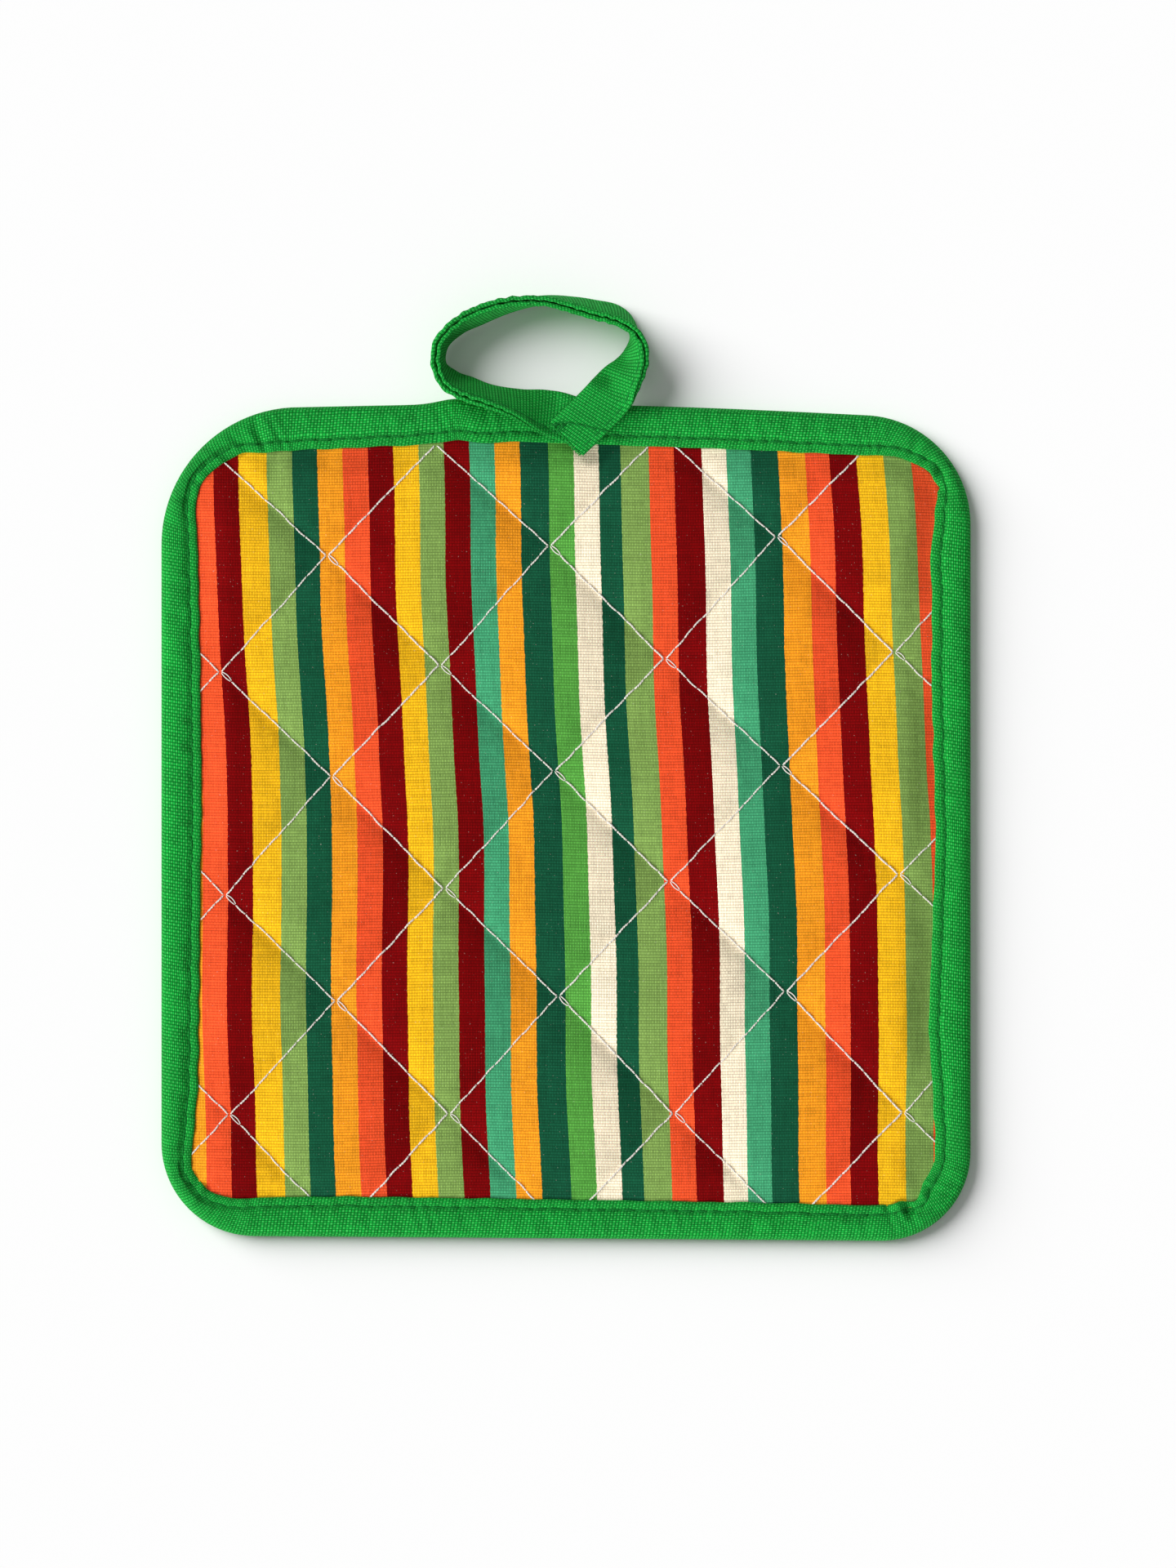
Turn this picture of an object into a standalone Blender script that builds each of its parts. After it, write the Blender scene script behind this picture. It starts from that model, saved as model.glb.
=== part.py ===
"""Square quilted pot holder with a bound edge and a hanging loop.

Metres, +Z up. It lies face up with the loop towards +Y, and the origin is under the middle of
its whole outline, on the surface that it lies on.
"""

import math

import bmesh
import bpy
from mathutils import Vector

MM = 0.001
CLOTH_GAP = 0.30 * MM
THREAD_GAP = 0.15 * MM

# Outline of the sewn pad: x, y and radius of each corner, anticlockwise from the bottom left.
CORNERS = (
    (-100.0 * MM, -115.6 * MM, 23.0 * MM),
    (100.0 * MM, -117.1 * MM, 22.0 * MM),
    (100.0 * MM, 86.8 * MM, 27.0 * MM),
    (-100.0 * MM, 89.6 * MM, 34.0 * MM),
)
TOP_EDGE_BOW = 1.6 * MM
ARC_STEPS = 7
EDGE_STEPS = 6

# Binding tape, folded round the edge.
BINDING_WIDTH = 9.6 * MM
BINDING_THICK = 4.6 * MM
BINDING_PLY = 0.9 * MM
BINDING_ROUND = 1.3 * MM
GROOVE_INSET = 7.3 * MM
GROOVE_HALF = 0.7 * MM
GROOVE_DEPTH = 0.5 * MM

# Layers of the pad.
CLOTH_THICK = 0.45 * MM
LAYER_INSET = 1.6 * MM
WADDING_EDGE_THICK = 0.7 * MM
WADDING_THICK = 2.95 * MM
RISE_START = BINDING_WIDTH + 0.5 * MM
RISE_END = BINDING_WIDTH + 5.0 * MM

# Quilting: rows of stitch corners from top to bottom, each with its height at the middle column
# and how much it climbs from one column to the next. The columns lean, and stand a little further
# apart to the right.
COLUMN_PITCH = 27.75 * MM
COLUMN_SPREAD = 0.15 * MM
MIDDLE_COLUMN = -4.6 * MM
COLUMN_LEAN = 0.55 * MM
ROWS = (
    (80.9 * MM, 1.30 * MM),
    (54.8 * MM, 1.15 * MM),
    (26.1 * MM, 0.83 * MM),
    (-0.8 * MM, 0.65 * MM),
    (-28.9 * MM, 0.85 * MM),
    (-56.4 * MM, 0.58 * MM),
    (-85.4 * MM, 0.10 * MM),
    (-113.5 * MM, 0.10 * MM),
)
OUTER_COLUMN = 3
CORNER_PULL = 0.6 * MM
QUILT_THREAD_RADIUS = 0.25 * MM
SEAM_THREAD_RADIUS = 0.15 * MM

# Hanging loop: the tape folded double, along its middle line. Each point is x, y, the height of
# the tape's middle, and its lean in degrees: 0 stands on its folded edge, 90 lies flat with its
# sewn edge outwards, and a lean below 0 tips over the hole.
TAPE_WIDTH = 11.8 * MM
TAPE_THICK = 1.4 * MM
ROOT_HEIGHT = BINDING_THICK + CLOTH_GAP + TAPE_THICK / 2
TAIL_HEIGHT = ROOT_HEIGHT + TAPE_THICK + 0.5 * MM
STAND_HEIGHT = 6.3 * MM
LOOP_ROUTE = (
    (8.5 * MM, 83.3 * MM, ROOT_HEIGHT, 90),
    (-0.6 * MM, 86.5 * MM, ROOT_HEIGHT, 88),
    (-5.6 * MM, 88.1 * MM, ROOT_HEIGHT + 0.1 * MM, 72),
    (-10.7 * MM, 89.9 * MM, ROOT_HEIGHT + 0.3 * MM, 45),
    (-18.7 * MM, 92.3 * MM, STAND_HEIGHT, 22),
    (-26.8 * MM, 96.0 * MM, STAND_HEIGHT, 12),
    (-31.4 * MM, 100.6 * MM, STAND_HEIGHT, 3),
    (-29.2 * MM, 106.6 * MM, STAND_HEIGHT, 5),
    (-20.8 * MM, 112.4 * MM, STAND_HEIGHT, 9),
    (-12.3 * MM, 115.4 * MM, STAND_HEIGHT, 0),
    (-2.6 * MM, 116.3 * MM, STAND_HEIGHT, 0),
    (6.5 * MM, 114.5 * MM, STAND_HEIGHT, -14),
    (14.7 * MM, 109.7 * MM, STAND_HEIGHT, -6),
    (17.2 * MM, 103.8 * MM, STAND_HEIGHT, 18),
    (15.0 * MM, 97.8 * MM, STAND_HEIGHT + 0.4 * MM, 42),
    (10.5 * MM, 91.1 * MM, TAIL_HEIGHT, 88),
    (5.8 * MM, 86.5 * MM, TAIL_HEIGHT, 90),
    (0.2 * MM, 81.2 * MM, TAIL_HEIGHT, 90),
)
ROUTE_STEPS = 3
ROOT_SPLIT_X = -8.6 * MM
HINGE_Y = 86.3 * MM
HINGE_Z = TAIL_HEIGHT + TAPE_THICK / 2
SPLIT_GAP = 0.25 * MM
EDGE_STITCH_INSET = 1.6 * MM
TACK_START = (-3.0 * MM, 84.6 * MM)
TACK_END = (9.6 * MM, 83.4 * MM)

FABRIC_ROUGHNESS = 0.85
THREAD_ROUGHNESS = 0.55
STRIPE_CORAL = (0.82, 0.10, 0.04)
TAPE_GREEN = (0.012, 0.27, 0.035)
NATURAL_COTTON = (0.80, 0.76, 0.66)
PADDING_WHITE = (0.86, 0.86, 0.84)
QUILT_WHITE = (0.88, 0.87, 0.83)
SEAM_GREEN = (0.010, 0.20, 0.030)


def clear_scene():
    for item in list(bpy.data.objects):
        bpy.data.objects.remove(item)


def fabric(name, colour, roughness):
    material = bpy.data.materials.get(name)
    if material is None:
        material = bpy.data.materials.new(name)
        material.use_nodes = True
        shader = material.node_tree.nodes["Principled BSDF"]
        shader.inputs["Base Color"].default_value = (*colour, 1.0)
        shader.inputs["Roughness"].default_value = roughness
        shader.inputs["Metallic"].default_value = 0.0
    return material


def add_object(name, data, material, parent):
    data.materials.append(material)
    item = bpy.data.objects.new(name, data)
    bpy.context.scene.collection.objects.link(item)
    item.parent = parent
    if parent is not None:
        item.matrix_parent_inverse = parent.matrix_world.inverted()
    return item


def add_joint_empty(name, place):
    empty = bpy.data.objects.new(name, None)
    empty.location = place
    bpy.context.scene.collection.objects.link(empty)
    bpy.context.view_layer.update()
    return empty


# --- outline of the pad


def outline():
    """Points round the pad with their outward normals, anticlockwise."""
    places = [Vector((x, y)) for x, y, _ in CORNERS]
    count = len(places)
    along = [(places[(i + 1) % count] - places[i]).normalized() for i in range(count)]
    normals = [Vector((d.y, -d.x)) for d in along]
    arcs = []
    for i, (place, corner) in enumerate(zip(places, CORNERS)):
        radius = corner[2]
        before, after = normals[i - 1], normals[i]
        middle = place - (before + after) * radius / (1 + before.dot(after))
        turn = before.angle(after)
        start = math.atan2(before.y, before.x)
        angles = [start + turn * k / ARC_STEPS for k in range(ARC_STEPS + 1)]
        arcs.append([(middle + Vector((math.cos(a), math.sin(a))) * radius,
                      Vector((math.cos(a), math.sin(a)))) for a in angles])
    points = []
    for i, arc in enumerate(arcs):
        points += arc
        end, start = arc[-1][0], arcs[(i + 1) % count][0][0]
        bow = TOP_EDGE_BOW if i == 2 else 0.0
        for k in range(1, EDGE_STEPS):
            share = k / EDGE_STEPS
            lift = bow * math.sin(math.pi * share)
            points.append((end.lerp(start, share) + normals[i] * lift, normals[i]))
    return points


def ring(inset):
    return [point - normal * inset for point, normal in outline()]


# --- solids built from rings round the outline


def lofted(name, profile, material, parent, closed):
    """A solid through (inset, height) rings. Closed joins the last ring to the first."""
    mesh = bmesh.new()
    rings = []
    for inset, height in profile:
        rings.append([mesh.verts.new((p.x, p.y, height)) for p in ring(inset)])
    pairs = list(zip(rings, rings[1:]))
    if closed:
        pairs.append((rings[-1], rings[0]))
    else:
        mesh.faces.new(rings[0])
        mesh.faces.new(rings[-1])
    for lower, upper in pairs:
        for k in range(len(lower)):
            after = (k + 1) % len(lower)
            mesh.faces.new((lower[k], lower[after], upper[after], upper[k]))
    bmesh.ops.recalc_face_normals(mesh, faces=mesh.faces)
    data = bpy.data.meshes.new(name)
    mesh.to_mesh(data)
    mesh.free()
    return add_object(name, data, material, parent)


def edge_binding(parent):
    """U-shaped tape round the edge, with a groove on each face where its seam pulls it in."""
    half_round = BINDING_ROUND * 0.3
    face_side = [
        (BINDING_WIDTH, 0.0),
        (GROOVE_INSET + GROOVE_HALF, 0.0),
        (GROOVE_INSET + GROOVE_HALF * 0.6, GROOVE_DEPTH),
        (GROOVE_INSET - GROOVE_HALF * 0.6, GROOVE_DEPTH),
        (GROOVE_INSET - GROOVE_HALF, 0.0),
        (BINDING_ROUND, 0.0),
        (half_round, half_round),
        (0.0, BINDING_ROUND),
    ]
    inner_side = [
        (BINDING_WIDTH, BINDING_THICK - BINDING_PLY),
        (BINDING_PLY, BINDING_THICK - BINDING_PLY),
        (BINDING_PLY, BINDING_PLY),
        (BINDING_WIDTH, BINDING_PLY),
    ]
    top_side = [(inset, BINDING_THICK - height) for inset, height in reversed(face_side)]
    green = fabric("tape_green", TAPE_GREEN, FABRIC_ROUGHNESS)
    return lofted("edge_binding", face_side + top_side + inner_side, green, parent, closed=True)


def pad_layers(parent):
    backing_low = BINDING_PLY + CLOTH_GAP
    backing_high = backing_low + CLOTH_THICK
    lofted("backing_cloth", [(LAYER_INSET, backing_low), (LAYER_INSET, backing_high)],
           fabric("natural_cotton", NATURAL_COTTON, FABRIC_ROUGHNESS), parent, closed=False)

    wadding_low = backing_high + CLOTH_GAP
    wadding_edge = wadding_low + WADDING_EDGE_THICK
    wadding_high = wadding_low + WADDING_THICK
    lofted("wadding",
           [(LAYER_INSET, wadding_low), (LAYER_INSET, wadding_edge),
            (RISE_START, wadding_edge), (RISE_END, wadding_high)],
           fabric("padding_white", PADDING_WHITE, FABRIC_ROUGHNESS), parent, closed=False)

    face_edge = wadding_edge + CLOTH_GAP
    face_high = wadding_high + CLOTH_GAP
    lofted("face_cloth",
           [(RISE_END, face_high), (RISE_START, face_edge), (LAYER_INSET, face_edge),
            (LAYER_INSET, face_edge + CLOTH_THICK), (RISE_START, face_edge + CLOTH_THICK),
            (RISE_END, face_high + CLOTH_THICK)],
           fabric("stripe_coral", STRIPE_CORAL, FABRIC_ROUGHNESS), parent, closed=False)
    return backing_low, face_high + CLOTH_THICK


# --- threads


def thread(name, points, radius, material, parent, cyclic=False):
    data = bpy.data.curves.new(name, "CURVE")
    data.dimensions = "3D"
    data.bevel_depth = radius
    data.bevel_resolution = 0
    data.use_fill_caps = not cyclic
    spline = data.splines.new("POLY")
    spline.points.add(len(points) - 1)
    for slot, point in zip(spline.points, points):
        slot.co = (*point, 1.0)
    spline.use_cyclic_u = cyclic
    return add_object(name, data, material, parent)


def quilt_corner(column, row):
    """Where the stitching turns, at a whole column and row of the quilting."""
    height, climb = ROWS[row]
    x = MIDDLE_COLUMN + COLUMN_LEAN * row + COLUMN_PITCH * column + COLUMN_SPREAD * column**2
    return Vector((x, height + climb * column))


def inside(point, loop):
    """Whether a point lies inside a closed line of points."""
    found = False
    for a, b in zip(loop, loop[1:] + loop[:1]):
        if (a.y > point.y) != (b.y > point.y):
            cut = a.x + (point.y - a.y) * (b.x - a.x) / (b.y - a.y)
            found = found != (point.x < cut)
    return found


def cut_at(inner, outer, loop):
    """The place on the way from an inside point to an outside one where it meets the loop."""
    for _ in range(30):
        middle = (inner + outer) / 2
        if inside(middle, loop):
            inner = middle
        else:
            outer = middle
    return inner


def trimmed(points, loop):
    """The part of a line of points that lies inside the loop, its ends cut where they meet it."""
    kept = []
    for a, b in zip(points, points[1:]):
        a_in, b_in = inside(a, loop), inside(b, loop)
        if a_in and not kept:
            kept.append(a)
        if not a_in and b_in:
            kept.append(cut_at(b, a, loop))
        if b_in:
            kept.append(b)
        elif a_in:
            kept.append(cut_at(a, b, loop))
    return kept


def quilting_lines():
    """Plan of every quilting thread: zigzags between neighbouring columns, which meet point to
    point, and the short ends of the outermost two, which the edge cuts into separate corners."""
    window = ring(BINDING_WIDTH + 1.0 * MM)
    pull = Vector((CORNER_PULL, 0.0))
    lines = {}
    for number, left in enumerate(range(-OUTER_COLUMN, OUTER_COLUMN), 1):
        points = []
        for row in range(len(ROWS)):
            if (left + row) % 2:
                points.append(quilt_corner(left, row) + pull)
            else:
                points.append(quilt_corner(left + 1, row) - pull)
        lines[f"{number}"] = trimmed(points, window)
    for side, sign in (("left", -1), ("right", 1)):
        column = sign * OUTER_COLUMN
        for number, row in enumerate((2, 4, 6), 1):
            corner = quilt_corner(column, row) + pull * sign
            above = quilt_corner(column + sign, row - 1)
            below = quilt_corner(column + sign, row + 1)
            lines[f"{side}_{number}"] = trimmed([above, corner, below], window)
    return lines


def quilting_threads(back, front, parent):
    white = fabric("quilt_white", QUILT_WHITE, THREAD_ROUGHNESS)
    lift = THREAD_GAP + QUILT_THREAD_RADIUS
    for face, height in (("front", front + lift), ("back", back - lift)):
        for name, line in quilting_lines().items():
            points = [(p.x, p.y, height) for p in line]
            thread(f"quilting_{face}_{name}", points, QUILT_THREAD_RADIUS, white, parent)


def binding_seams(parent):
    green = fabric("seam_green", SEAM_GREEN, THREAD_ROUGHNESS)
    height = GROOVE_DEPTH - THREAD_GAP - SEAM_THREAD_RADIUS
    for face, z in (("back", height), ("front", BINDING_THICK - height)):
        points = [(p.x, p.y, z) for p in ring(GROOVE_INSET)]
        thread(f"binding_seam_{face}", points, SEAM_THREAD_RADIUS, green, parent, cyclic=True)


# --- hanging loop


def spline_place(before, start, end, after, share):
    """Catmull-Rom curve through start and end."""
    return 0.5 * (2 * start + (end - before) * share
                  + (2 * before - 5 * start + 4 * end - after) * share**2
                  + (3 * start - before - 3 * end + after) * share**3)


def tape_stations():
    """Sections along the tape: its middle, its direction, its width towards the sewn edge, and
    its thickness towards the hole of the loop. The lean changes evenly between route points."""
    places = [Vector(point[:3]) for point in LOOP_ROUTE]
    leans = [point[3] for point in LOOP_ROUTE]
    padded = [places[0], *places, places[-1]]
    middles, turns = [], []
    for k in range(len(places) - 1):
        for step in range(ROUTE_STEPS):
            share = step / ROUTE_STEPS
            middles.append(spline_place(*padded[k:k + 4], share))
            turns.append(leans[k] + (leans[k + 1] - leans[k]) * share)
    middles.append(places[-1])
    turns.append(leans[-1])
    stations = []
    for k, (middle, turn) in enumerate(zip(middles, turns)):
        ahead = middles[min(k + 1, len(middles) - 1)] - middles[max(k - 1, 0)]
        ahead.z = 0.0
        ahead.normalize()
        outward = Vector((-ahead.y, ahead.x, 0.0))
        lean = math.radians(turn)
        upward = Vector((0.0, 0.0, 1.0))
        width = upward * math.cos(lean) + outward * math.sin(lean)
        inward = upward * math.sin(lean) - outward * math.cos(lean)
        stations.append((middle, ahead, width, inward))
    return stations


def section(station):
    middle, _, width, inward = station
    across, thick = width * TAPE_WIDTH / 2, inward * TAPE_THICK / 2
    return [middle - across - thick, middle + across - thick,
            middle + across + thick, middle - across + thick]


def slid_to(station, axis, value):
    """The section's corners, each slid along the tape until it lies on a plane."""
    ahead = station[1]
    return [corner + ahead * (value - corner[axis]) / ahead[axis] for corner in section(station)]


def tape_piece(name, sections, material, parent):
    mesh = bmesh.new()
    rings = [[mesh.verts.new(corner) for corner in corners] for corners in sections]
    mesh.faces.new(rings[0])
    mesh.faces.new(rings[-1])
    for first, second in zip(rings, rings[1:]):
        for k in range(4):
            after = (k + 1) % 4
            mesh.faces.new((first[k], first[after], second[after], second[k]))
    bmesh.ops.recalc_face_normals(mesh, faces=mesh.faces)
    data = bpy.data.meshes.new(name)
    mesh.to_mesh(data)
    mesh.free()
    return add_object(name, data, material, parent)


def hanging_tape(pad, swing):
    """The tape from its root on the binding, round the loop, to its cut end on top of the root."""
    green = fabric("tape_green", TAPE_GREEN, FABRIC_ROUGHNESS)
    stations = tape_stations()
    root_plane, loop_plane = ROOT_SPLIT_X + SPLIT_GAP, ROOT_SPLIT_X - SPLIT_GAP
    half = len(stations) // 2
    root = [s for s in stations[:half] if min(c.x for c in section(s)) > root_plane]
    free = [s for s in stations[:half] if max(c.x for c in section(s)) < loop_plane]
    free += [s for s in stations[half:] if min(c.y for c in section(s)) > HINGE_Y + SPLIT_GAP]

    tape_piece("loop_root", [section(s) for s in root] + [slid_to(root[-1], 0, root_plane)],
               green, pad)
    ends = slid_to(free[0], 0, loop_plane), slid_to(free[-1], 1, HINGE_Y + SPLIT_GAP)
    tape_piece("hanging_loop", [ends[0], *(section(s) for s in free), ends[1]], green, swing)
    tail = [slid_to(stations[-1], 1, HINGE_Y - SPLIT_GAP), section(stations[-1])]
    tape_piece("loop_tail", tail, green, pad)

    seam_green = fabric("seam_green", SEAM_GREEN, THREAD_ROUGHNESS)
    lift = TAPE_THICK / 2 + CLOTH_GAP + SEAM_THREAD_RADIUS
    seam = [middle + width * (TAPE_WIDTH / 2 - EDGE_STITCH_INSET) + inward * lift
            for middle, _, width, inward in free]
    thread("loop_edge_seam", seam, SEAM_THREAD_RADIUS, seam_green, swing)

    tack_height = HINGE_Z + THREAD_GAP + SEAM_THREAD_RADIUS
    tack = [(*TACK_START, tack_height), (*TACK_END, tack_height)]
    thread("loop_tack_seam", tack, SEAM_THREAD_RADIUS, seam_green, pad)


def main():
    clear_scene()
    pad = add_joint_empty("pad", (0.0, 0.0, 0.0))
    swing = add_joint_empty("loop_swing", (0.0, HINGE_Y, HINGE_Z))
    back, front = pad_layers(pad)
    edge_binding(pad)
    quilting_threads(back, front, pad)
    binding_seams(pad)
    hanging_tape(pad, swing)


main()
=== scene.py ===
"""Looks of a square quilted pot holder with a bound edge and a hanging loop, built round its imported
CAD part. Metres, +Z up: it lies face up with the loop towards +Y."""

import math

import bpy
import numpy as np
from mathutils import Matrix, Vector
from mathutils.bvhtree import BVHTree


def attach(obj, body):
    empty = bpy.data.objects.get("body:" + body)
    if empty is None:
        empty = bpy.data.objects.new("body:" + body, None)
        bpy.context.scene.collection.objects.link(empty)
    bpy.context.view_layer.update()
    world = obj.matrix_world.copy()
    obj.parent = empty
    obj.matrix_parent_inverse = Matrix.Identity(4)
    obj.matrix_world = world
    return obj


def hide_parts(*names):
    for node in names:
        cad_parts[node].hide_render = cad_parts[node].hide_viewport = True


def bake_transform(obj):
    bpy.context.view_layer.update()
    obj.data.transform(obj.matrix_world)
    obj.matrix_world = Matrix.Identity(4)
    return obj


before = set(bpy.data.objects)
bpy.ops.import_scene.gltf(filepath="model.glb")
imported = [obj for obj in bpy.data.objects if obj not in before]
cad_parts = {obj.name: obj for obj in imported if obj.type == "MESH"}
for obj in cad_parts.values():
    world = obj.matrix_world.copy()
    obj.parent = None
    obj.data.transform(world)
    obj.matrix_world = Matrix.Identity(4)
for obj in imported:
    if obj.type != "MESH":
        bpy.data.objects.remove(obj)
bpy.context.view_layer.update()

MM = 0.001
UP = np.array((0.0, 0.0, 1.0))

# Outline of the sewn pad: x, y and radius of each corner, anticlockwise from the bottom left.
CORNERS_MM = ((-100.0, -115.6, 23.0), (100.0, -117.1, 22.0), (100.0, 86.8, 27.0), (-100.0, 89.6, 34.0))
# The top edge starts at this corner. It bows out, and once more where the loop leaves it: x of the
# bump, its reach and its height.
TOP_EDGE = 2
TOP_EDGE_BOW = 1.6 * MM
ROOT_BUMP_X, ROOT_BUMP_REACH, ROOT_BUMP_RISE = -27.0 * MM, 6.0 * MM, 1.4 * MM
OUTLINE_STEP = 0.6 * MM
ARC_POINTS = 25
EDGE_POINTS = 120
POINTS_AT_ONCE = 2000

# Binding: width of the tape on the face. Places count the corners' middles, in their order.
BINDING_WIDTHS_MM = (
    (0.00, 6.6), (0.04, 8.2), (0.10, 9.6), (0.21, 10.0), (0.51, 9.6), (0.76, 9.2), (0.90, 8.7), (0.95, 9.1),
    (0.98, 7.1), (1.00, 8.4), (1.02, 9.4), (1.06, 8.9), (1.10, 8.7), (1.18, 9.5), (1.25, 10.4), (1.31, 9.9),
    (1.49, 8.6), (1.70, 9.7), (1.79, 9.5), (1.85, 10.0), (1.92, 8.4), (1.94, 7.0), (1.98, 5.7), (2.03, 7.9),
    (2.10, 10.0), (2.41, 10.0), (2.57, 9.3), (2.65, 10.4), (2.69, 9.9), (2.87, 10.7), (2.92, 10.1),
    (2.96, 7.3), (2.99, 6.8), (3.02, 5.7), (3.05, 5.7), (3.08, 7.1), (3.13, 9.0), (3.29, 9.6), (3.46, 10.0),
    (3.70, 9.4), (3.83, 9.1), (3.91, 7.8), (3.955, 6.3), (3.98, 6.7),
)
SEAM_TO_EDGE = 2.3 * MM
BINDING_STITCH = 3.6 * MM
NEEDLE_PIT = 0.32 * MM
# Section of the folded tape, from its inner edge on the face round the outside to its inner edge on
# the back, and back inside the fold. Each point's distance in from the outline is a share of the
# seam's distance plus millimetres, and its height is in millimetres, plus a share of the crown and
# less one of the pit at a needle hole.
BINDING_SECTION = (
    (1, 2.28, 3.30, 0, 0), (1, 2.35, 3.70, 0, 0), (1, 2.26, 4.00, 0, 0), (1, 1.98, 4.22, 0, 0),
    (1, 1.40, 4.32, 0, 0), (1, 0.75, 4.33, 0, 0), (1, 0.35, 4.24, 0, 0), (1, 0.12, 4.12, 0, 1),
    (1, -0.12, 4.12, 0, 1), (1, -0.35, 4.26, 0, 0), (1, -0.85, 4.42, 0, 0), (0.80, 0, 4.70, 0.6, 0),
    (0.66, 0, 4.82, 1, 0), (0.52, 0, 4.86, 1, 0), (0.38, 0, 4.76, 0.8, 0), (0.25, 0, 4.50, 0.4, 0),
    (0, 0.95, 4.10, 0, 0), (0, 0.50, 3.60, 0, 0), (0, 0.17, 2.95, 0, 0), (0, 0, 2.25, 0, 0),
    (0, 0.15, 1.45, 0, 0), (0, 0.55, 0.75, 0, 0), (0, 1.2, 0.25, 0, 0), (0, 2.2, 0.03, 0, 0),
    (0.45, 0, 0, 0, 0), (0.75, 0, 0, 0, 0), (1, -0.75, 0.12, 0, 0), (1, -0.30, 0.5, 0, 0),
    (1, 0.30, 0.5, 0, 0), (1, 0.75, 0.15, 0, 0), (1, 1.4, 0.03, 0, 0), (1, 2.05, 0.2, 0, 0),
    (1, 2.35, 0.7, 0, 0), (1, 2.28, 1.12, 0, 0), (1, 0, 1.14, 0, 0), (0, 2.0, 1.12, 0, 0),
    (0, 1.1, 1.7, 0, 0), (0, 1.0, 2.3, 0, 0), (0, 1.1, 2.9, 0, 0), (0, 2.0, 3.46, 0, 0), (1, 0, 3.44, 0, 0),
)
# The loop's root flattens the binding round this x.
ROOT_X, ROOT_REACH = -2 * MM, 16 * MM

# Quilting: rows of stitch corners from top to bottom, each with its height at the middle column
# and how much it climbs from one column to the next.
COLUMN_PITCH = 27.75 * MM
COLUMN_SPREAD = 0.15 * MM
MIDDLE_COLUMN = -4.6 * MM
COLUMN_LEAN = 0.55 * MM
ROWS_MM = (
    (80.9, 1.30), (54.8, 1.15), (26.1, 0.83), (-0.8, 0.65),
    (-28.9, 0.85), (-56.4, 0.58), (-85.4, 0.10), (-113.5, 0.10),
)
ROW_PITCH = 27.8 * MM
OUTER_COLUMN = 3
CORNER_PULL = 0.3 * MM
QUILT_STITCH = 3.4 * MM
# The threads run this far under the binding.
QUILT_UNDER_BINDING = 0.15 * MM
DIAMONDS = range(-5, 9)
CELL_STEPS = 20

# Heights in the pad, from the table up.
CLOTH_THICK = 0.45 * MM
FACE_AT_RIM = 3.38 * MM
FACE_VALLEY = 3.7 * MM
FACE_PUFF = 3.5 * MM
BACK_AT_RIM = 1.2 * MM
BACK_VALLEY = 1.45 * MM
BACK_LOWEST = 0.2 * MM
RIM_RISE = 8.0 * MM
CLOTH_UNDER_BINDING = 3.5 * MM
WADDING_GAP = 0.12 * MM
WADDING_LEAST = 0.3 * MM

# Simulation of the face cloth: pressure of the filling, frames, and how far a point may move.
CLOTH_SETTINGS = {
    "quality": 6, "mass": 0.25, "tension_stiffness": 12, "compression_stiffness": 8, "shear_stiffness": 4,
    "bending_stiffness": 0.05, "use_pressure": True, "uniform_pressure_force": 4.0, "shrink_min": -0.012,
}
FRAMES = 20
MOST_PUFF = 1.15 * FACE_PUFF
MOST_SHIFT = 0.8 * MM

# Hanging loop: x, y, height of the tape's middle, and its lean in degrees: 0 stands on its folded
# edge, 90 lies flat with its sewn edge outwards.
LOOP_ROUTE = (
    (8.5, 83.3, 5.6, 90), (-0.6, 86.5, 5.6, 86), (-5.8, 88.2, 5.8, 64), (-11.5, 89.8, 6.1, 38),
    (-18.7, 91.7, 6.1, 25), (-24.6, 93.7, 6.1, 27), (-28.6, 95.9, 6.1, 23), (-31.2, 99.6, 6.1, 7),
    (-30.6, 104.8, 6.1, 7), (-26.6, 108.9, 6.1, 10), (-21.4, 111.4, 6.1, 11), (-13.6, 114.2, 6.1, 6),
    (-5.4, 115.2, 6.1, -5), (1.8, 114.3, 6.1, -13), (7.2, 113.1, 6.1, -18), (11.8, 112.0, 6.1, -19),
    (14.9, 110.0, 6.1, -12), (17.2, 106.4, 6.1, 5), (17.1, 102.2, 6.4, 26), (15.3, 98.3, 6.7, 43),
    (12.8, 94.8, 7.1, 64), (10.4, 91.3, 7.5, 88), (5.8, 86.5, 7.5, 90), (0.2, 81.2, 7.5, 90),
)
LOOP_STEPS = 10
# Steps left out at the start, which lies hidden in the root.
LOOP_SKIPPED = 4
TAPE_WIDTH = 11.8 * MM
TAPE_FREE_THICK = 2.5 * MM
TAPE_SEWN_THICK = 1.7 * MM
# Half of the folded tape's section, from its fold to the bottom of the slit at its sewn edge: share
# of half the thickness, and distance from the middle of the width in millimetres.
TAPE_SECTION = (
    (0.0, -5.9), (0.45, -5.75), (0.8, -5.3), (0.95, -4.6), (1.0, -3.7), (1.02, -2.7), (1.03, -1.7),
    (1.03, -0.7), (1.02, 0.3), (1.0, 1.3), (0.97, 2.2), (0.93, 3.0), (0.82, 3.7), (0.70, 4.2), (0.80, 4.65),
    (0.98, 5.1), (1.0, 5.5), (0.84, 5.8), (0.5, 5.9), (0.22, 5.75), (0.13, 5.3), (0.08, 4.6), (0.05, 3.4),
    (0.05, 1.0), (0.05, -1.5), (0.05, -4.0), (0.0, -4.9),
)
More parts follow.
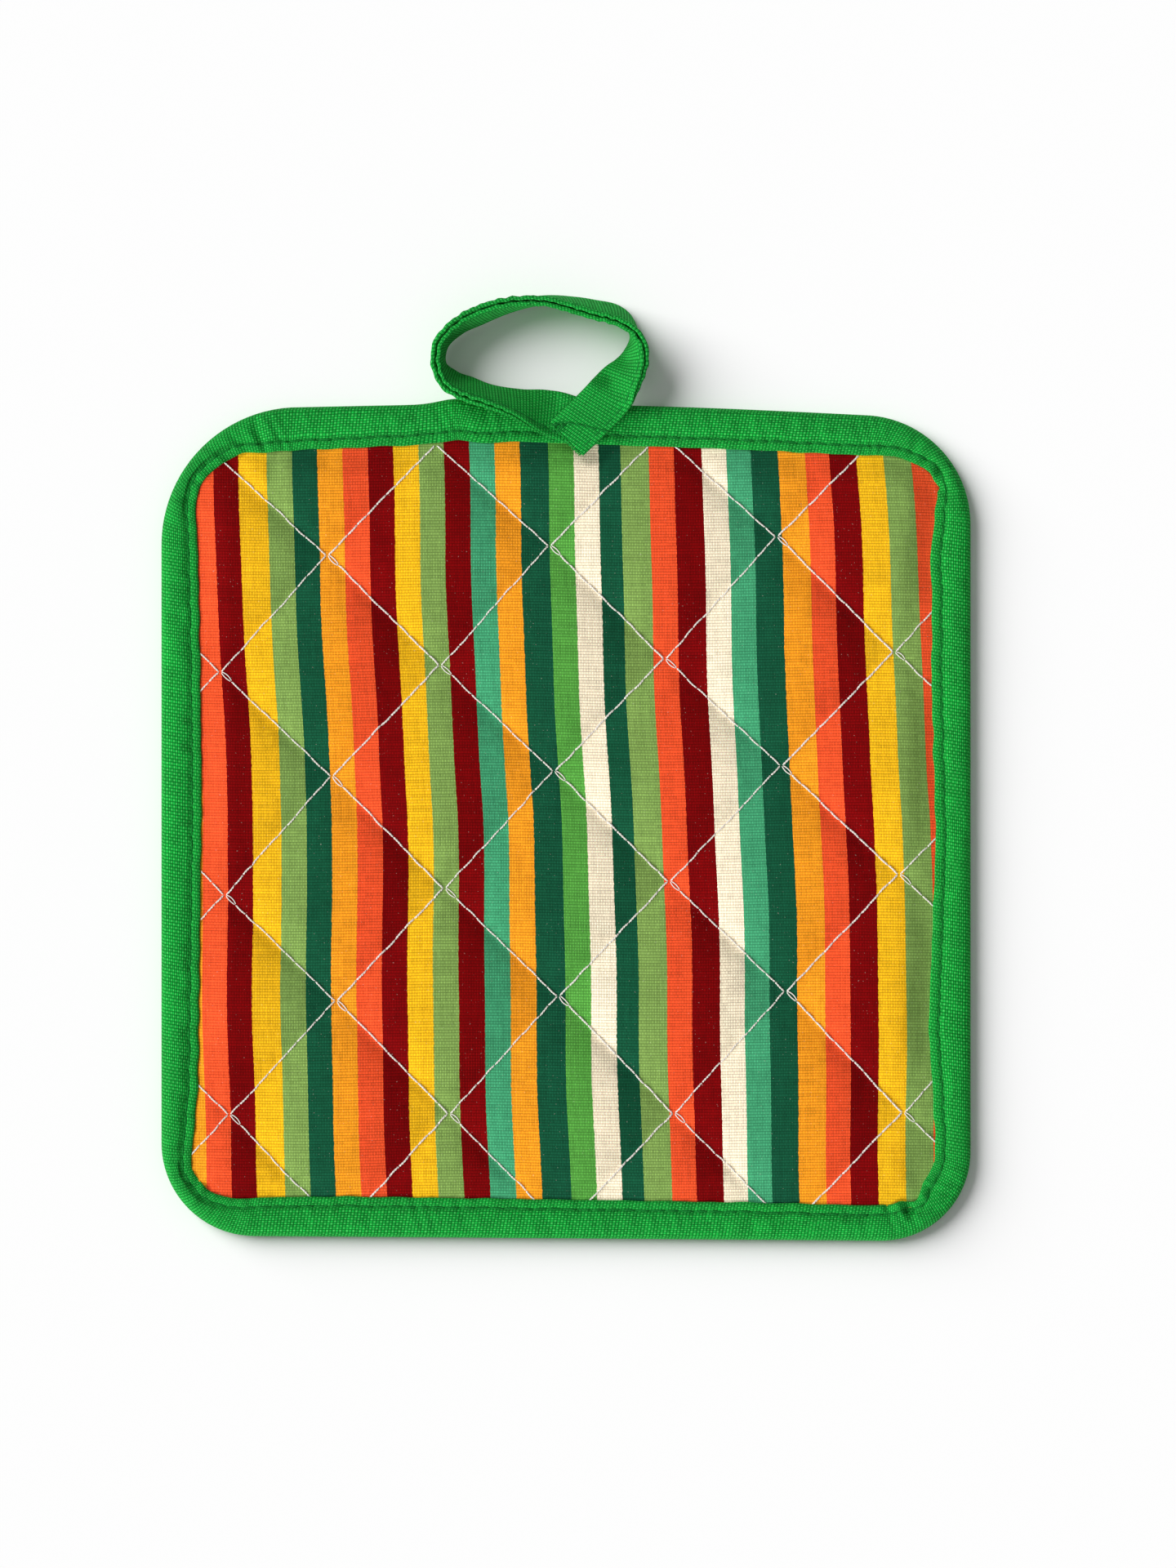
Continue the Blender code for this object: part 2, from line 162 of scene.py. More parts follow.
# Dents in the tape's inner face: x, y, reach and depth.
TAPE_DENTS_MM = (
    (14.4, 100.6, 2.0, 0.85), (10.2, 96.4, 1.6, 0.7), (-26.5, 96.6, 2.0, 0.5), (-3.0, 90.5, 2.4, 0.35),
)
EDGE_SEAM_AT = 4.25 * MM
# Where the tape is rucked up or pulled in: x, y, reach along the edge and across it, and height.
TAPE_FOLDS_MM = (
    (82.0, -107.8, 1.5, 2.4, 0.9), (85.0, -109.6, 1.1, 1.2, -1.9), (88.2, -106.6, 1.3, 2.2, 0.8),
    (79.4, -108.6, 0.8, 1.5, -0.6), (91.9, 69.2, 1.3, 1.2, -1.2), (89.9, 72.6, 1.8, 1.4, 0.7),
    (93.6, 65.4, 1.6, 1.0, 0.5), (93.0, 73.4, 0.9, 2.2, -0.6), (-76.0, 82.3, 0.9, 4.5, -0.8),
    (-73.6, 83.0, 1.2, 4.5, 0.45), (-91.4, -102.6, 0.8, 2.2, -0.7), (-89.8, -104.6, 1.0, 1.8, 0.5),
    (-92.8, -99.4, 0.8, 1.6, -0.5), (-94.2, 66.5, 1.4, 2.6, -0.4), (-20.0, 85.6, 1.3, 4.0, -0.25),
)
# Creases in the face cloth: x, y, reach in x and y, and height.
CLOTH_CREASES_MM = (
    (-71.8, 77.0, 1.6, 8.0, -0.9), (-68.9, 75.5, 1.6, 6.0, 0.6), (-59.6, 77.0, 1.5, 4.5, -0.5),
    (85.0, -96.0, 1.8, 7.0, -0.5), (60.5, 71.0, 1.6, 5.0, -0.4), (-84.0, 20.0, 1.8, 9.0, 0.3),
)

# Threads: radius of each, how deep they go down at the holes, and how far they stray sideways.
# A ply's radius is a share of its thread's, and two plies that lie apart have a gap.
QUILT_RADIUS, QUILT_DIP, QUILT_SWAY, QUILT_WANDER = 0.23 * MM, 0.28 * MM, 0.16 * MM, 0.12 * MM
THICKER_THREADS = ("2", "4", "6")
THICKER_RADIUS = 0.26 * MM
SEAM_RADIUS, SEAM_DIP, SEAM_SWAY = 0.19 * MM, 0.30 * MM, 0.05 * MM
EDGE_SEAM_RADIUS = 0.16 * MM
THREAD_TWIST = 1.5 * MM
PLY_SHARE, PLY_GAP = 0.56, 0.28 * MM
SHORTEST_LEG = 0.4 * MM
STITCH_STEPS = 9
# Height from which the stitches are dropped on the cloth, above it or below it.
RAY_START = 50 * MM
# Line of the stitches that tack the loop down, and where its loose thread ends start.
TACK_MM = ((-3.6, 84.4), (-0.2, 85.2), (5.0, 84.1), (10.4, 82.9))
TACK_STITCH, TACK_WANDER = 2.6 * MM, 0.1 * MM
LOOSE_END_MM = (-2.6, 84.2, 8.5)
LOOSE_ENDS = 7
FRAYED_YARNS = 26

# Light: each sun's name, heading, strength, softness in degrees, and whether it lights the floor.
# The first two light only the pot holder, and the last only the floor, so that the shadow there is
# soft and falls to the lower right.
SUNS = (
    ("key", (0.58, 0.54, -0.50), 3.0, 36, "EXCLUDE"),
    ("second", (0.48, -0.60, -0.58), 1.25, 24, "EXCLUDE"),
    ("floor_light", (0.68, -0.40, -0.48), 4.53, 50, "INCLUDE"),
)
WORLD_LIGHT = 0.27
FLOOR_HALF = 3.0
FLOOR_DROP = 0.15 * MM
FLOOR_WHITE = 0.97
# Camera: straight down on this place, with this height of the scene in its frame.
VIEW_X, VIEW_Y, VIEW_Z = 5.44 * MM, -4.03 * MM, 5 * MM
VIEW_HEIGHT = 387.1 * MM
LENS, SENSOR = 200.0, 36.0

# Colours as they look, 0 to 255.
INKS = {
    "coral": (233, 81, 41), "dark_red": (116, 2, 4), "gold": (236, 179, 26), "sage": (123, 155, 79),
    "teal": (18, 80, 54), "amber": (238, 150, 32), "mint": (64, 152, 107), "leaf": (84, 156, 64),
    "cream": (240, 225, 196),
}
# The print, from left to right, with the width of each stripe in millimetres.
STRIPES = (
    ("amber", 9.5), ("coral", 6.5), ("dark_red", 6.4), ("gold", 6.5), ("sage", 6.4), ("teal", 6.1),
    ("amber", 6.4), ("coral", 6.1), ("dark_red", 6.0), ("gold", 6.1), ("sage", 6.4),
    ("dark_red", 6.5), ("mint", 6.4), ("amber", 6.0), ("teal", 6.5), ("leaf", 6.4), ("cream", 6.1),
    ("teal", 6.0), ("sage", 6.5), ("coral", 6.4), ("dark_red", 6.9), ("cream", 6.0), ("mint", 6.9),
    ("teal", 6.8), ("amber", 6.9), ("coral", 6.4), ("dark_red", 6.9), ("gold", 6.8), ("sage", 6.9),
    ("coral", 9.0),
)
PRINT_LEFT = -100.0 * MM

# Each thread's colour, and the colour between its strands.
WHITE_THREAD = ((252, 248, 240), (222, 212, 202))
GREEN_THREAD = ((24, 146, 58), (8, 92, 38))
TAPE_GREEN = (12, 146, 50)
# A light green painted on the crowns of the tape's yarns as their highlight.
TAPE_CROWN_HIGHLIGHT = (106, 232, 124)
NATURAL = (222, 210, 184)
NATURAL_SLUB = (176, 156, 118)
LINT = (236, 228, 214)
WADDING_WHITE = (240, 238, 232)

# Yarns of each canvas: how far apart they lie across and along, and how much they waver.
FACE_YARNS = (0.395 * MM, 0.71 * MM, 0.035 * MM)
TAPE_YARNS = (0.43 * MM, 0.81 * MM, 0.05 * MM)
BACK_YARNS = (0.42 * MM, 0.60 * MM, 0.04 * MM)
TAPE_SKEW = math.tan(math.radians(12))
THREAD_STRAND = 0.22 * MM


# --- small helpers


def linear(colour):
    """A colour as it looks, 0 to 255, as linear light with alpha."""
    shares = [c / 255 for c in colour]
    return [s / 12.92 if s < 0.04045 else ((s + 0.055) / 1.055) ** 2.4 for s in shares] + [1.0]


def smooth_step(low, high, value):
    share = np.clip((value - low) / (high - low), 0.0, 1.0)
    return share * share * (3 - 2 * share)


def catmull(before, start, end, after, share):
    """Catmull-Rom curve through start and end."""
    return 0.5 * (2 * start + (end - before) * share
                  + (2 * before - 5 * start + 4 * end - after) * share**2
                  + (3 * start - before - 3 * end + after) * share**3)


def bell(gap, reach):
    """1 where there is no gap, and fading to nothing a few times the reach away."""
    return np.exp(-(gap / reach) ** 2)


def lengths_along(points):
    """How far along a line of points each one lies."""
    gaps = np.linalg.norm(np.diff(points, axis=0), axis=1)
    return np.concatenate([[0.0], np.cumsum(gaps)])


def closed_line(points):
    return np.vstack([points, points[:1]])


def picked(at, lengths, values):
    """Rows of values at the given lengths along a line."""
    return np.stack([np.interp(at, lengths, column) for column in values.T], -1)


def unit(vectors, spare=0.0):
    """Each vector scaled to length 1. spare keeps one of no length from dividing by zero."""
    return vectors / (np.linalg.norm(vectors, axis=1)[:, None] + spare)


def right_of(ahead):
    """Square to a direction in plan, on its right."""
    return np.stack([ahead[..., 1], -ahead[..., 0]], -1)


def sides_of(path):
    """Directions beside a path and over it, both square to it."""
    ahead = unit(np.gradient(path, axis=0), 1e-12)
    side = unit(np.cross(ahead, UP), 1e-12)
    return side, np.cross(side, ahead)


def ripple(seed, turns, low, high):
    """A random wave that closes on itself, of about unit height, at places from 0 to 1."""
    random = np.random.RandomState(seed)
    total = np.zeros_like(turns)
    for k in range(low, high + 1):
        total += random.normal() * np.sin(2 * np.pi * (k * turns + random.uniform()))
    return total / math.sqrt((high - low + 1) / 2)


def make_piece(name, points, faces, material, face_uvs=None):
    """A smooth mesh object. face_uvs holds a pair for each corner of each face, in order."""
    data = bpy.data.meshes.new(name)
    data.from_pydata([tuple(p) for p in points], [], [tuple(f) for f in faces])
    data.polygons.foreach_set("use_smooth", [True] * len(data.polygons))
    if face_uvs is not None:
        layer = data.uv_layers.new(name="cloth")
        layer.data.foreach_set("uv", np.asarray(face_uvs, np.float32).ravel())
    data.materials.append(material)
    item = bpy.data.objects.new(name, data)
    bpy.context.scene.collection.objects.link(item)
    return item


def swept(rings, along, across, closed):
    """Points, quads and corner UVs of a skin over rings of points, its normals facing out.
    along has one more value than there are gaps between rings, across one more than points."""
    count, width = rings.shape[:2]
    a, b = np.meshgrid(np.arange(count if closed else count - 1), np.arange(width), indexing="ij")
    c, d = (a + 1) % count, (b + 1) % width
    quads = np.stack([a * width + b, c * width + b, c * width + d, a * width + d], -1)
    steps = ((0, 0), (1, 0), (1, 1), (0, 1))
    uvs = np.stack([np.stack([along[a + i], across[b + j]], -1) for i, j in steps], -2)
    quads, uvs = quads.reshape(-1, 4), uvs.reshape(-1, 4, 2)
    points = rings.reshape(-1, 3)
    corners = points[quads]
    normals = np.cross(corners[:, 2] - corners[:, 0], corners[:, 3] - corners[:, 1])
    middles = np.repeat(rings.mean(1), width, axis=0)[:len(quads)]
    if (normals * (corners.mean(1) - middles)).sum() < 0:
        quads, uvs = quads[:, ::-1], uvs[:, ::-1]
    return points, quads, uvs


def swept_piece(name, rings, along, across, closed, material):
    points, quads, uvs = swept(rings, along, across, closed)
    faces = [tuple(q) for q in quads]
    corner_uvs = [pair for face in uvs.tolist() for pair in face]
    if not closed:
        width = rings.shape[1]
        start = list(range(width))
        end = [len(points) - width + k for k in range(width)]
        forward = rings[1].mean(0) - rings[0].mean(0)
        turn = np.cross(rings[0], np.roll(rings[0], -1, axis=0)).sum(0)
        if turn @ forward > 0:
            start = start[::-1]
        else:
            end = end[::-1]
        faces += [tuple(start), tuple(end)]
        corner_uvs += [(along[0], across[k % width]) for k in start]
        corner_uvs += [(along[-1], across[k % width]) for k in end]
    return make_piece(name, points, faces, material, corner_uvs)


def mesh_points(data):
    points = np.empty(len(data.vertices) * 3, np.float32)
    data.vertices.foreach_get("co", points)
    return points.reshape(-1, 3).astype(float)


def evaluated(item):
    """The item as its modifiers make it."""
    return item.evaluated_get(bpy.context.evaluated_depsgraph_get())


class Skin:
    """Gathers several closed tubes into one mesh."""

    def __init__(self):
        self.points, self.faces, self.uvs, self.count = [], [], [], 0

    def tube(self, path, radius, sides=6):
        path = np.asarray(path, float)
        side, over = sides_of(path)
        angles = 2 * np.pi * np.arange(sides) / sides
        radius = np.broadcast_to(radius, len(path))[:, None, None]
        rings = path[:, None] + radius * (np.cos(angles)[None, :, None] * side[:, None]
                                          + np.sin(angles)[None, :, None] * over[:, None])
        lengths = lengths_along(path)
        across = np.arange(sides + 1) / sides * 2 * np.pi * float(radius.mean())
        points, quads, uvs = swept(rings, np.append(lengths, lengths[-1]), across, closed=False)
        self.points.append(points)
        self.faces += [tuple(q + self.count) for q in quads]
        self.uvs += uvs.reshape(-1, 2).tolist()
        # A ring runs clockwise as seen along the path, so the first cap keeps its order.
        start = range(self.count, self.count + sides)
        self.count += len(points)
        end = range(self.count - sides, self.count)
        self.faces += [tuple(start), tuple(reversed(end))]
        self.uvs += [(0.0, 0.0)] * (2 * sides)

    def piece(self, name, material):
        return make_piece(name, np.concatenate(self.points), self.faces, material, self.uvs)


def place_on_pad(piece, slot, *nodes):
    """The piece rides on the pad and stands for the CAD nodes, which are hidden. slot is not used."""
    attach(piece, "pad")
    if nodes:
        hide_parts(*nodes)
    return piece


# --- materials


class Nodes:
    """Shorthand for building one material's node tree."""

    def __init__(self, name):
        self.material = bpy.data.materials.new(name)
        self.material.use_nodes = True
        self.tree = self.material.node_tree
        self.shader = self.tree.nodes["Principled BSDF"]

    def put(self, socket, value):
        if isinstance(value, bpy.types.NodeSocket):
            self.tree.links.new(value, socket)
        else:
            socket.default_value = value

    def node(self, kind, inputs=(), **settings):
        """A new node with its settings, and a value or a link for each of the inputs named."""
        made = self.tree.nodes.new("ShaderNode" + kind)
        for name, value in settings.items():
            setattr(made, name, value)
        for name, value in inputs:
            self.put(made.inputs[name], value)
        return made

    def math(self, operation, first, second=0.0):
        return self.node("Math", ((0, first), (1, second)), operation=operation).outputs[0]

    def plus(self, first, second):
        return self.math("ADD", first, second)

    def times(self, first, second):
        return self.math("MULTIPLY", first, second)

    def cloth_place(self):
        return self.node("UVMap", uv_map="cloth").outputs["UV"]

    def object_place(self):
        return self.node("TexCoord").outputs["Object"]

    def parts(self, vector):
        outputs = self.node("SeparateXYZ", [(0, vector)]).outputs
        return outputs[0], outputs[1]

    def joined(self, x, y, z=0.0):
        return self.node("CombineXYZ", enumerate((x, y, z))).outputs[0]

    def noise(self, vector, scale, detail=2.0, roughness=0.5):
        inputs = (("Vector", vector), ("Scale", scale), ("Detail", detail), ("Roughness", roughness))
        return self.node("TexNoise", inputs).outputs[0]

    def white_noise(self, vector):
        return self.node("TexWhiteNoise", [("Vector", vector)]).outputs["Value"]

    def spread(self, value, low, high):
        """A value from 0 to 1 stretched to low and high."""
        return self.plus(self.times(value, high - low), low)

    def shade(self, *terms):
        """Product of values from 0 to 1, each given with the low and high it is stretched to."""
        total = self.spread(*terms[0])
        for term in terms[1:]:
            total = self.times(total, self.spread(*term))
        return total

    def mix(self, share, first, second):
        inputs = (("Factor", share), ("A", first), ("B", second))
        return self.node("Mix", inputs, data_type="RGBA").outputs["Result"]

    def scaled(self, colour, factor):
        """A colour with its brightness multiplied by a value."""
        return self.node("VectorMath", ((0, colour), ("Scale", factor)), operation="SCALE").outputs[0]

    def finish(self, colour, roughness, height, depth, sheen):
        bump = self.node("Bump", (("Distance", depth), ("Strength", 1.0), ("Height", height)))
        return self.shaded({"Base Color": colour, "Roughness": roughness, "Normal": bump.outputs[0],
                            "Sheen Weight": sheen, "Sheen Roughness": 0.45, "Specular IOR Level": 0.05})

    def shaded(self, looks):
        """The material, once its shader has the named looks."""
        for name, value in looks.items():
            self.put(self.shader.inputs[name], value)
        return self.material


def plain_weave(nodes, place, warp, weft, wobble):
    """Yarns crossing over and under: how high the cloth is, which yarn lies on top, from 0 to 1,
    and how light that yarn is."""
    shake = nodes.spread(nodes.noise(place, 420.0, 1.0), -wobble, wobble)
    drift = nodes.spread(nodes.noise(place, 60.0, 1.0), -3 * wobble, 3 * wobble)
    x, y = nodes.parts(place)
    x = nodes.plus(nodes.plus(x, shake), drift)
    y = nodes.plus(nodes.math("SUBTRACT", y, shake), drift)
    column, row = nodes.math("DIVIDE", x, warp), nodes.math("DIVIDE", y, weft)
    crossing = nodes.times(nodes.math("COSINE", nodes.times(column, math.pi)),
                           nodes.math("COSINE", nodes.times(row, math.pi)))
    height = nodes.math("POWER", nodes.math("ABSOLUTE", crossing), 0.55)
    on_top = nodes.spread(crossing, 0.5, 1.0)
    cell_x = nodes.math("FLOOR", nodes.plus(column, 0.5))
    cell_y = nodes.math("FLOOR", nodes.plus(row, 0.5))
    long_y = nodes.math("FLOOR", nodes.math("DIVIDE", cell_y, 9.0))
    long_x = nodes.math("FLOOR", nodes.math("DIVIDE", cell_x, 14.0))
    warp_tone = nodes.white_noise(nodes.joined(cell_x, long_y))
    weft_tone = nodes.white_noise(nodes.joined(long_x, cell_y, 7.0))
    crossing_tone = nodes.white_noise(nodes.joined(cell_x, cell_y, 3.0))
    tone = nodes.math("DIVIDE", nodes.plus(nodes.plus(warp_tone, weft_tone), crossing_tone), 3.0)
    return height, on_top, tone


def printed_canvas():
    nodes = Nodes("printed_canvas")
    place = nodes.cloth_place()
    height, on_top, tone = plain_weave(nodes, place, *FACE_YARNS)
    x, y = nodes.parts(place)
    width = sum(w for _, w in STRIPES) * MM
    bleed = nodes.spread(nodes.noise(place, 900.0, 1.0), -0.16 * MM, 0.16 * MM)
    along = nodes.math("DIVIDE", nodes.plus(nodes.math("SUBTRACT", x, PRINT_LEFT), bleed), width)
    ramp = nodes.node("ValToRGB", [(0, along)])
    ramp.color_ramp.interpolation = "CONSTANT"
    steps = ramp.color_ramp.elements
    steps.remove(steps[1])
    steps[0].color = linear(INKS[STRIPES[0][0]])
    edge = STRIPES[0][1] * MM
    for ink, stripe in STRIPES[1:]:
        steps.new(edge / width).color = linear(INKS[ink])
        edge += stripe * MM

    patches = nodes.noise(place, 38.0, 3.0, 0.6)
    # Painted shade and light: the weave's height darkens the print between the yarns and lightens their
    # crowns; the other terms vary the yarns' own tone.
    shade = nodes.shade((height, 0.56, 1.58), (on_top, 0.90, 1.10), (tone, 0.80, 1.22), (patches, 0.90, 1.12))
    colour = nodes.scaled(ramp.outputs[0], shade)
    lint = nodes.math("GREATER_THAN", nodes.noise(place, 1900.0, 1.0), 0.74)
    colour = nodes.mix(nodes.times(lint, 0.20), colour, linear(LINT))
    fuzz = nodes.noise(place, 2600.0, 2.0)
    relief = nodes.plus(height, nodes.times(fuzz, 0.35))
    return nodes.finish(colour, nodes.spread(height, 0.94, 0.74), relief, 0.10 * MM, 0.03)


def tape_canvas():
    nodes = Nodes("tape_canvas")
    place = nodes.cloth_place()
    u, v = nodes.parts(place)
    skewed = nodes.plus(u, nodes.times(v, TAPE_SKEW))
    height, on_top, tone = plain_weave(nodes, nodes.joined(v, skewed), *TAPE_YARNS)
    patches = nodes.noise(place, 55.0, 3.0, 0.6)
    # Painted shade and light: the weave's height darkens the green between the yarns and lightens their
    # crowns; the other terms vary the yarns' own tone.
    shade = nodes.shade((height, 0.34, 1.62), (tone, 0.68, 1.32), (patches, 0.84, 1.16))
    colour = nodes.scaled(linear(TAPE_GREEN)[:3], shade)
    # Painted highlight: the crowns of the yarns that lie on top are mixed towards a light green.
    crown_highlight = nodes.times(nodes.math("POWER", height, 3.0), on_top)
    colour = nodes.mix(nodes.times(crown_highlight, 0.55), colour, linear(TAPE_CROWN_HIGHLIGHT))
    fuzz = nodes.noise(place, 2400.0, 2.0)
    relief = nodes.plus(height, nodes.times(fuzz, 0.3))
    return nodes.finish(colour, nodes.spread(height, 0.92, 0.72), relief, 0.14 * MM, 0.02)


def natural_canvas():
    nodes = Nodes("backing_canvas")
    place = nodes.cloth_place()
    height, _, tone = plain_weave(nodes, place, *BACK_YARNS)
    patches = nodes.noise(place, 45.0, 3.0)
    # Painted shade: the weave's height darkens the canvas a little between the yarns; the other terms vary
    # the yarns' own tone.
    shade = nodes.shade((height, 0.74, 1.06), (tone, 0.88, 1.08), (patches, 0.92, 1.06))
    u, v = nodes.parts(place)
    stretched = nodes.joined(nodes.times(u, 0.12), v)
    slub = nodes.math("GREATER_THAN", nodes.noise(stretched, 1500.0, 1.0), 0.72)
    colour = nodes.scaled(linear(NATURAL)[:3], shade)
    colour = nodes.mix(nodes.times(slub, 0.35), colour, linear(NATURAL_SLUB))
    relief = nodes.plus(height, nodes.times(slub, 0.6))
    return nodes.finish(colour, nodes.spread(height, 0.95, 0.80), relief, 0.11 * MM, 0.15)


def thread_material(name, colour, shadow):
    """Twisted thread: strands run across it at a slant."""
    nodes = Nodes(name)
    place = nodes.cloth_place()
    u, v = nodes.parts(place)
    slanted = nodes.plus(u, nodes.times(v, 1.2))
    strands = nodes.math("SINE", nodes.times(slanted, 2 * math.pi / THREAD_STRAND))
    height = nodes.spread(strands, 0.5, 1.0)
    mottle = nodes.noise(nodes.object_place(), 900.0, 2.0)
    blended = nodes.mix(nodes.times(mottle, 0.55), linear(colour), linear(shadow))
    # Painted shade: the grooves between the strands are darker.
    shaded = nodes.scaled(blended, nodes.spread(height, 0.84, 1.05))
    return nodes.finish(shaded, nodes.spread(mottle, 0.5, 0.7), height, 0.02 * MM, 0.06)


def wadding_material():
    nodes = Nodes("wadding_fibre")
    place = nodes.object_place()
    fibres = nodes.noise(place, 1400.0, 5.0, 0.7)
    clumps = nodes.noise(place, 180.0, 3.0)
    colour = nodes.scaled(linear(WADDING_WHITE)[:3], nodes.spread(clumps, 0.82, 1.02))
    relief = nodes.plus(fibres, clumps)
    return nodes.finish(colour, nodes.spread(fibres, 0.85, 1.0), relief, 0.3 * MM, 0.3)


# --- outline of the pad


def make_outline():
    """Places evenly round the pad, their outward normals, how far along they are, and their phase:
    whole numbers in the middles of the corners."""
    corners = np.array(CORNERS_MM) * MM
    places = corners[:, :2]
    normals = right_of(unit(np.roll(places, -1, axis=0) - places))
    arcs = []
    for i, radius in enumerate(corners[:, 2]):
        before, after = normals[i - 1], normals[i]
        centre = places[i] - (before + after) * radius / (1 + before @ after)
        start = math.atan2(before[1], before[0])
        turn = math.acos(before @ after)
        angles = start + turn * np.linspace(0, 1, ARC_POINTS)
        arcs.append(centre + radius * np.stack([np.cos(angles), np.sin(angles)], -1))
    raw, middles = [], []
    for i, arc in enumerate(arcs):
        middles.append(len(raw) + len(arc) // 2)
        raw += list(arc)
        start, end = arc[-1], arcs[(i + 1) % len(arcs)][0]
        for share in np.linspace(0, 1, EDGE_POINTS)[1:-1]:
            point = start + (end - start) * share
            if i == TOP_EDGE:
                rise = ROOT_BUMP_RISE * bell(point[0] - ROOT_BUMP_X, ROOT_BUMP_REACH)
                point = point + normals[i] * (TOP_EDGE_BOW * math.sin(math.pi * share) + rise)
            raw.append(point)
    raw = closed_line(np.array(raw))
    lengths = lengths_along(raw)
    count = round(lengths[-1] / OUTLINE_STEP)
    along = np.arange(count) * lengths[-1] / count
    points = picked(along, lengths, raw)
    outward = right_of(unit(np.roll(points, -2, axis=0) - np.roll(points, 2, axis=0)))
    corners_at = [lengths[m] for m in middles]
    knots = np.array([corners_at[-1] - lengths[-1], *corners_at, corners_at[0] + lengths[-1]])
    phase = np.interp(along, knots, np.arange(-1, 5)) % 4
    return points, outward, along, phase, lengths[-1]


def binding_widths():
    """Width of the tape on the face, all round, with the steps between its known widths eased."""
    places, widths = np.array(BINDING_WIDTHS_MM).T
    eased = np.interp(PHASE, places, widths, period=len(CORNERS_MM))
    for _ in range(6):
        eased = (np.roll(eased, 1) + 2 * eased + np.roll(eased, -1)) / 4
    return eased * MM + 0.07 * MM * ripple(3, TURNS, 40, 110)


OUTLINE, OUTWARD, ALONG, PHASE, PERIMETER = make_outline()
TURNS = ALONG / PERIMETER
WIDTHS = binding_widths()
INNER_EDGE = OUTLINE - OUTWARD * WIDTHS[:, None]
SEAM_LINE = closed_line(INNER_EDGE + OUTWARD * SEAM_TO_EDGE)
SEAM_LENGTHS = lengths_along(SEAM_LINE)
SEAM_STITCHES = round(SEAM_LENGTHS[-1] / BINDING_STITCH)


def rim_distance(points):
    """How far each plan point lies inside the outline, and inside the binding's inner edge."""
    inside, field = [], []
    for block in np.array_split(points, 1 + len(points) // POINTS_AT_ONCE):
        nearest = ((block[:, None] - OUTLINE) ** 2).sum(-1).argmin(1)
        inside.append(((OUTLINE[nearest] - block) * OUTWARD[nearest]).sum(1))
        field.append(inside[-1] - WIDTHS[nearest])
    return np.concatenate(inside), np.concatenate(field)


# --- quilted cloths


def quilt_corner(column, row):
    """Where the stitching turns, at a whole column and row of the quilting."""
    known = min(max(row, 0), len(ROWS_MM) - 1)
    height, climb = np.array(ROWS_MM[known]) * MM
    x = MIDDLE_COLUMN + COLUMN_LEAN * row + COLUMN_PITCH * column + COLUMN_SPREAD * column**2
    return np.array((x, height + (known - row) * ROW_PITCH + climb * column))


def quilt_grid():
    """Plan points of a net whose lines follow the stitching, with its quads. In each diamond u
    runs down to the right and v down to the left, both counted in diamonds."""
    corners = np.array([[quilt_corner(u - v, u + v + 1) for v in DIAMONDS] for u in DIAMONDS])
    steps = np.arange((len(DIAMONDS) - 1) * CELL_STEPS)
    cell, share = steps // CELL_STEPS, (steps % CELL_STEPS) / CELL_STEPS
    u_share, v_share = share[:, None, None], share[None, :, None]
    rows, columns = cell[:, None], cell[None, :]
    near = corners[rows, columns] * (1 - u_share) + corners[rows + 1, columns] * u_share
    far = corners[rows, columns + 1] * (1 - u_share) + corners[rows + 1, columns + 1] * u_share
    net = near * (1 - v_share) + far * v_share
    u, v = np.meshgrid(steps / CELL_STEPS, steps / CELL_STEPS, indexing="ij")
    places = net.reshape(-1, 2)
    inside, field = rim_distance(places)
    number = np.arange(len(places)).reshape(len(steps), len(steps))
    quads = np.stack([number[:-1, :-1], number[:-1, 1:], number[1:, 1:], number[1:, :-1]], -1)
    quads = quads.reshape(-1, 4)
    quads = quads[(inside > CLOTH_UNDER_BINDING)[quads].all(1)]
    used, order = np.unique(quads, return_inverse=True)
    return places[used], u.ravel()[used], v.ravel()[used], field[used], order.reshape(-1, 4)


def puff_height(u, v):
    """Height of the filling in each diamond, from 0 to 1. The lines that run down to the right
    are pulled in the deepest."""
    u_share, v_share = u % 1, v % 1
    across_right = (4 * v_share * (1 - v_share)) ** 0.45
    across_left = (4 * u_share * (1 - u_share)) ** 0.62
    return across_right * (0.15 + 0.85 * across_left)


def blown_up(item, pinned):
    """Cloth simulation of the sheet with its stitched points held. Returns its points."""
    group = item.vertex_groups.new(name="sewn")
    group.add([int(k) for k in pinned], 1.0, "REPLACE")
    cloth = item.modifiers.new("cloth", "CLOTH")
    for name, value in CLOTH_SETTINGS.items():
        setattr(cloth.settings, name, value)
    cloth.settings.vertex_group_mass = "sewn"
    cloth.settings.effector_weights.gravity = 0.0
    cloth.collision_settings.use_collision = False
    scene = bpy.context.scene
    for number in range(1, FRAMES + 1):
        scene.frame_set(number)
    points = mesh_points(evaluated(item).data)
    scene.frame_set(1)
    item.modifiers.remove(cloth)
    item.vertex_groups.remove(group)
    return points


def print_place(points):
    """Where each plan point lies on the print: its stripes lean, and wander a little."""
    x, y = points[:, 0], points[:, 1]
    below = y + 12 * MM
    lower = 0.010 + 0.023 * bell(x - 20 * MM, 45 * MM)
    upper = 0.038 + 0.022 * smooth_step(30 * MM, 100 * MM, x)
    lean = np.where(below > 0, upper, lower) * below
    wander = 0.35 * MM * np.sin(y / (17 * MM) + x / (60 * MM))
    wander = wander + 0.1 * MM * np.sin(y / (7 * MM) - x / (21 * MM))
    return np.stack([x + lean + wander, y + 0.3 * MM * np.sin(x / (15 * MM))], -1)


